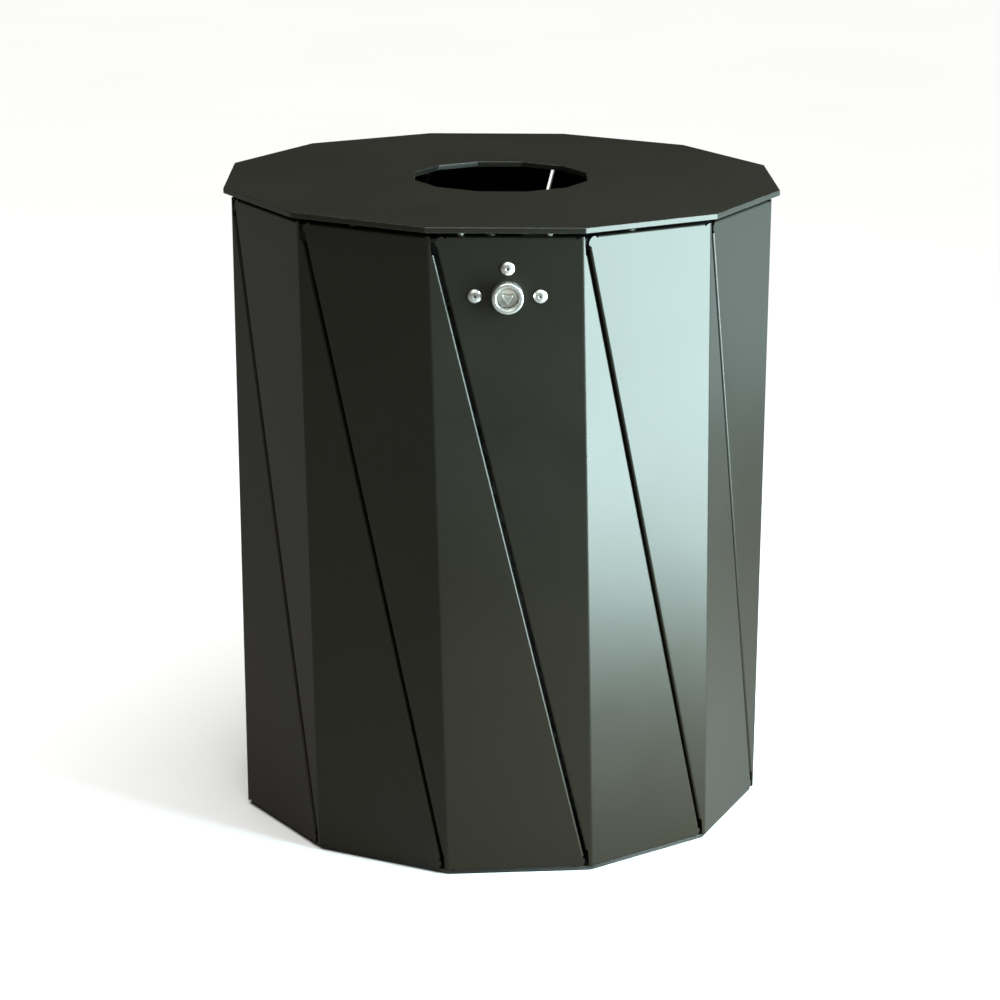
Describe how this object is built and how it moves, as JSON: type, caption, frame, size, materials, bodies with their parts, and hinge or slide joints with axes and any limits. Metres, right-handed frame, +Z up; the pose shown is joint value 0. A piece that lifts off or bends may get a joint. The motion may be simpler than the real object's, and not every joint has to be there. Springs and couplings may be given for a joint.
{
  "type": "litter bin",
  "caption": "Twelve-sided steel litter bin with leaning panel slits, a flat hinged lid with a round opening, a key lock and a lift-out liner.",
  "frame": {"origin": "centre of the base plate's underside, on the ground", "axes": "+Z up, -Y the front with the lock, +Y the rear with the hinge, +X the right side seen from the front"},
  "size_m": [0.4968, 0.5018, 0.585],
  "materials": {
    "powder_coat": "fine textured satin powder coat, warm anthracite",
    "frame_coat": "matt black primer and coat on the inner frame",
    "bright_zinc": "bright zinc plate",
    "galvanised": "galvanised sheet with spangle",
    "pale_nylon": "natural nylon"
  },
  "bodies": {
    "shell": {"panel_01": "powder_coat", "panel_02": "powder_coat", "panel_03": "powder_coat", "panel_04": "powder_coat", "panel_05": "powder_coat", "panel_06": "powder_coat", "panel_07": "powder_coat", "panel_08": "powder_coat", "panel_09": "powder_coat", "panel_10": "powder_coat", "panel_11": "powder_coat", "panel_12": "powder_coat", "top_ring": "frame_coat", "base_plate": "frame_coat", "post_1": "frame_coat", "post_2": "frame_coat", "post_3": "frame_coat", "post_4": "frame_coat", "lock_housing": "bright_zinc", "lock_nut": "bright_zinc", "lock_plate": "frame_coat", "lock_rivet_top": "bright_zinc", "lock_rivet_left": "bright_zinc", "lock_rivet_right": "bright_zinc", "hinge_shell_leaf": "bright_zinc", "hinge_pin": "bright_zinc", "hinge_rivet_1": "bright_zinc", "hinge_rivet_2": "bright_zinc", "hinge_rivet_3": "bright_zinc", "hinge_rivet_4": "bright_zinc", "lid_pad_1": "pale_nylon", "lid_pad_2": "pale_nylon", "lid_pad_3": "pale_nylon", "lid_pad_4": "pale_nylon"},
    "lid": {"lid": "powder_coat", "lid_catch": "bright_zinc", "catch_screw_1": "bright_zinc", "catch_screw_2": "bright_zinc", "hinge_lid_leaf": "bright_zinc", "hinge_screw_1": "bright_zinc", "hinge_screw_2": "bright_zinc", "hinge_screw_3": "bright_zinc", "hinge_screw_4": "bright_zinc"},
    "lock": {"lock_driver": "bright_zinc", "lock_cam": "bright_zinc", "cam_screw": "bright_zinc"},
    "liner": {"liner": "galvanised"},
    "handle_left": {"liner_handle_left": "galvanised"},
    "handle_right": {"liner_handle_right": "galvanised"}
  },
  "joints": [
    {"name": "lid_hinge", "type": "hinge", "parent": "shell", "child": "lid", "pos_m": [0, 0.24498, 0.575], "axis": [-1, 0, 0], "range_deg": [0, 100]},
    {"name": "lock_turn", "type": "hinge", "parent": "shell", "child": "lock", "pos_m": [0.002, -0.241, 0.5254], "axis": [0, 1, 0], "range_deg": [0, 90]},
    {"name": "liner_lift", "type": "slide", "parent": "shell", "child": "liner", "axis": [0, 0, 1], "range_m": [0, 0.04]},
    {"name": "handle_left_swing", "type": "hinge", "parent": "liner", "child": "handle_left", "pos_m": [-0.1805, 0, 0.482], "axis": [0, -1, 0], "range_deg": [-8, 180]},
    {"name": "handle_right_swing", "type": "hinge", "parent": "liner", "child": "handle_right", "pos_m": [0.1805, 0, 0.482], "axis": [0, 1, 0], "range_deg": [-8, 180]}
  ]
}
